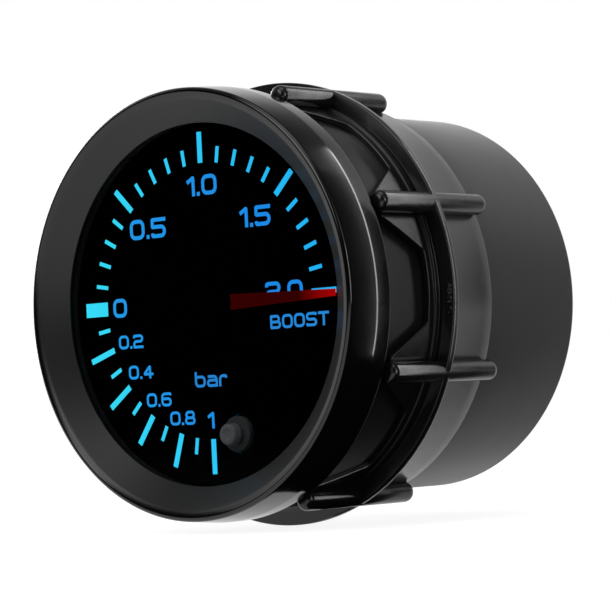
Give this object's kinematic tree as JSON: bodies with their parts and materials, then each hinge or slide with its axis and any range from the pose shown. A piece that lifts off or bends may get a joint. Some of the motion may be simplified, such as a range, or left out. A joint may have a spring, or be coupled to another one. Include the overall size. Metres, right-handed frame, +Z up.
{
  "type": "boost gauge",
  "caption": "Round panel-mount boost gauge with a lit bar scale, smoked lens, locking collar, Bourdon movement, hose nipple and wire inlet.",
  "frame": {"origin": "on the gauge's axis, in the plane of the bezel's rear face, which seats on the panel", "axes": "-Y is the way the dial faces, +Y points to the rear along the can, +Z is up on the dial"},
  "size_m": [0.0598, 0.0665, 0.0598],
  "materials": {
    "black_anodised": "gloss black",
    "smoked_lens": "clear gloss, smoke tinted",
    "seal_rubber": "moulded matt",
    "can_abs": "moulded satin",
    "collar_nylon": "moulded semi gloss",
    "dial_film": "printed matt black",
    "guide_acrylic": "translucent, lit from behind",
    "board_laminate": "solder resist",
    "led_epoxy": "clear epoxy",
    "chip_epoxy": "moulded",
    "ribbon_pvc": "smooth",
    "needle_red": "translucent red, lit",
    "hub_black": "matt black",
    "button_abs": "frosted grey",
    "brass": "turned and stamped",
    "phosphor_bronze": "drawn",
    "steel": "ground and zinc plated"
  },
  "bodies": {
    "case": {"bezel": "black_anodised", "lens": "smoked_lens", "lens_gasket": "seal_rubber", "wire_grommet": "seal_rubber", "can": "can_abs", "rear_cover": "can_abs", "dial": "dial_film", "light_guide": "guide_acrylic", "led_board": "board_laminate", "control_board": "board_laminate", "leds": "led_epoxy", "control_parts": "chip_epoxy", "switch_body": "chip_epoxy", "board_cable": "ribbon_pvc", "pressure_socket": "brass", "port_nut": "brass", "hose_nipple": "brass", "control_posts": "brass", "dial_posts": "brass", "front_plate": "brass", "rear_plate": "brass", "pillars": "brass", "hairspring_stud": "brass", "tube_tip": "brass", "bourdon_tube": "phosphor_bronze", "hairspring": "phosphor_bronze", "cover_screws": "steel", "port_washer": "steel", "plate_screws": "steel"},
    "collar": {"locking_collar": "collar_nylon"},
    "needle": {"needle": "needle_red", "needle_hub": "hub_black", "pinion_arbor": "steel", "hairspring_collet": "brass"},
    "button": {"button": "button_abs", "switch_plunger": "button_abs"},
    "sector": {"sector_gear": "brass", "sector_arbor": "steel", "tail_pin": "steel"},
    "link": {"link": "brass", "tip_pin": "steel"}
  },
  "joints": [
    {"name": "collar_turn", "type": "hinge", "parent": "case", "child": "collar", "pos_m": [0, 0.012, 0], "axis": [0, 1, 0], "range_deg": [-190, 720]},
    {"name": "sector_swing", "type": "hinge", "parent": "case", "child": "sector", "pos_m": [-0.0132, 0.01, 0], "axis": [0, -1, 0], "range_deg": [-27.3, 0.3]},
    {"name": "needle_spin", "type": "hinge", "parent": "case", "child": "needle", "pos_m": [0, 0, 0], "axis": [0, -1, 0], "range_deg": [-3, 273]},
    {"name": "link_swing", "type": "hinge", "parent": "sector", "child": "link", "pos_m": [-0.01598, 0.0092, 0.00415], "axis": [0, -1, 0], "range_deg": [-0.3, 27.3]},
    {"name": "button_press", "type": "slide", "parent": "case", "child": "button", "axis": [0, 1, 0], "range_m": [0, 0.00035], "stiffness_N_per_m": 2800}
  ],
  "couplings": [
    {"joint": "needle_spin", "follows": "sector_swing", "ratio": -10},
    {"joint": "link_swing", "follows": "sector_swing", "ratio": -1}
  ]
}
